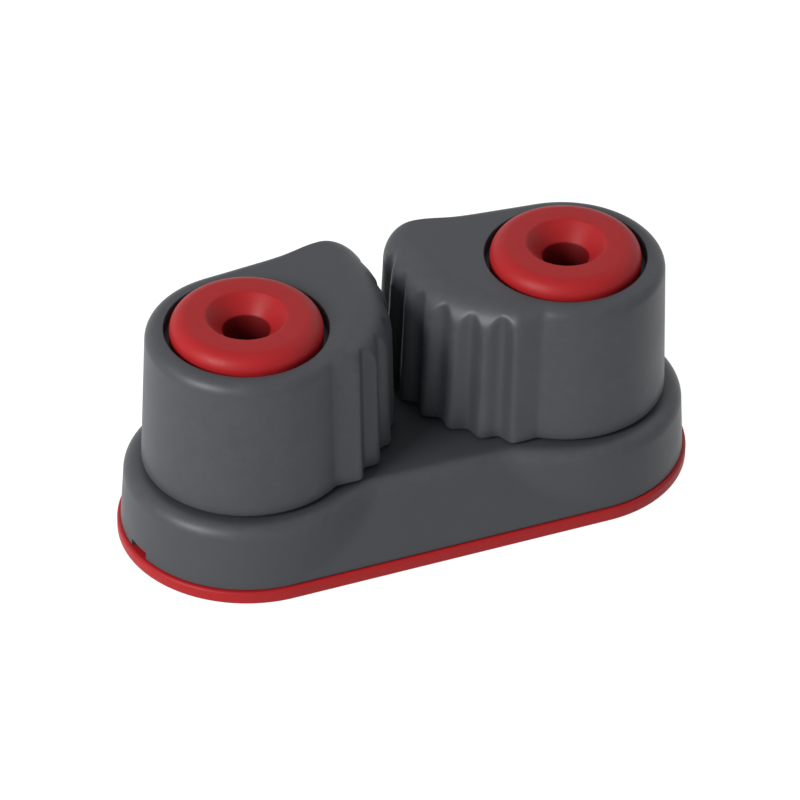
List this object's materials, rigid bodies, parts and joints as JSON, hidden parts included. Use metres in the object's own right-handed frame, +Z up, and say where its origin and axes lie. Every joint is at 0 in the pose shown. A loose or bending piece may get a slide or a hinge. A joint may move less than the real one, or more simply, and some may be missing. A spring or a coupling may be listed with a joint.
{
  "type": "cam cleat",
  "caption": "Cam cleat: sprung toothed cams on ball bearings stand on an oblong base with a backing plate and grip a rope drawn between them.",
  "frame": {"origin": "middle of the backing plate's underside, on the deck, halfway between the screws", "axes": "+X towards the right-hand pivot, +Y towards the cams' noses, where the rope's free tail leaves, +Z up off the deck"},
  "size_m": [0.067, 0.029, 0.0288],
  "materials": {
    "cam_alloy": "satin dark grey hard anodising",
    "base_alloy": "satin dark grey hard anodising",
    "red_plastic": "moulded, matte to satin",
    "spring_steel": "drawn stainless wire",
    "ball_plastic": "ground and polished"
  },
  "bodies": {
    "base": {"base": "base_alloy", "bottom_plate": "red_plastic", "left_post": "red_plastic", "right_post": "red_plastic", "left_spring": "spring_steel", "right_spring": "spring_steel"},
    "left_cam": {"left_cam": "cam_alloy"},
    "right_cam": {"right_cam": "cam_alloy"},
    "left_bearing": {"left_ball_lower_01": "ball_plastic", "left_ball_lower_02": "ball_plastic", "left_ball_lower_03": "ball_plastic", "left_ball_lower_04": "ball_plastic", "left_ball_lower_05": "ball_plastic", "left_ball_lower_06": "ball_plastic", "left_ball_lower_07": "ball_plastic", "left_ball_lower_08": "ball_plastic", "left_ball_lower_09": "ball_plastic", "left_ball_lower_10": "ball_plastic", "left_ball_lower_11": "ball_plastic", "left_ball_lower_12": "ball_plastic", "left_ball_upper_01": "ball_plastic", "left_ball_upper_02": "ball_plastic", "left_ball_upper_03": "ball_plastic", "left_ball_upper_04": "ball_plastic", "left_ball_upper_05": "ball_plastic", "left_ball_upper_06": "ball_plastic", "left_ball_upper_07": "ball_plastic", "left_ball_upper_08": "ball_plastic", "left_ball_upper_09": "ball_plastic", "left_ball_upper_10": "ball_plastic", "left_ball_upper_11": "ball_plastic", "left_ball_upper_12": "ball_plastic"},
    "right_bearing": {"right_ball_lower_01": "ball_plastic", "right_ball_lower_02": "ball_plastic", "right_ball_lower_03": "ball_plastic", "right_ball_lower_04": "ball_plastic", "right_ball_lower_05": "ball_plastic", "right_ball_lower_06": "ball_plastic", "right_ball_lower_07": "ball_plastic", "right_ball_lower_08": "ball_plastic", "right_ball_lower_09": "ball_plastic", "right_ball_lower_10": "ball_plastic", "right_ball_lower_11": "ball_plastic", "right_ball_lower_12": "ball_plastic", "right_ball_upper_01": "ball_plastic", "right_ball_upper_02": "ball_plastic", "right_ball_upper_03": "ball_plastic", "right_ball_upper_04": "ball_plastic", "right_ball_upper_05": "ball_plastic", "right_ball_upper_06": "ball_plastic", "right_ball_upper_07": "ball_plastic", "right_ball_upper_08": "ball_plastic", "right_ball_upper_09": "ball_plastic", "right_ball_upper_10": "ball_plastic", "right_ball_upper_11": "ball_plastic", "right_ball_upper_12": "ball_plastic"}
  },
  "joints": [
    {"name": "left_cam_pivot", "type": "hinge", "parent": "base", "child": "left_cam", "pos_m": [-0.019, 0, 0.0186], "axis": [0, 0, 1], "range_deg": [0, 55], "stiffness_Nm_per_rad": 0.05, "springref_deg": -34.38, "deforming": ["left_spring"]},
    {"name": "left_bearing_orbit", "type": "hinge", "parent": "base", "child": "left_bearing", "pos_m": [-0.019, 0, 0.018], "axis": [0, 0, 1], "range_deg": [0, 34]},
    {"name": "right_cam_pivot", "type": "hinge", "parent": "base", "child": "right_cam", "pos_m": [0.019, 0, 0.0186], "axis": [0, 0, -1], "range_deg": [0, 55], "stiffness_Nm_per_rad": 0.05, "springref_deg": -34.38, "deforming": ["right_spring"]},
    {"name": "right_bearing_orbit", "type": "hinge", "parent": "base", "child": "right_bearing", "pos_m": [0.019, 0, 0.018], "axis": [0, 0, -1], "range_deg": [0, 34]}
  ],
  "couplings": [
    {"joint": "left_bearing_orbit", "follows": "left_cam_pivot", "ratio": 0.6154},
    {"joint": "right_bearing_orbit", "follows": "right_cam_pivot", "ratio": 0.6154}
  ]
}
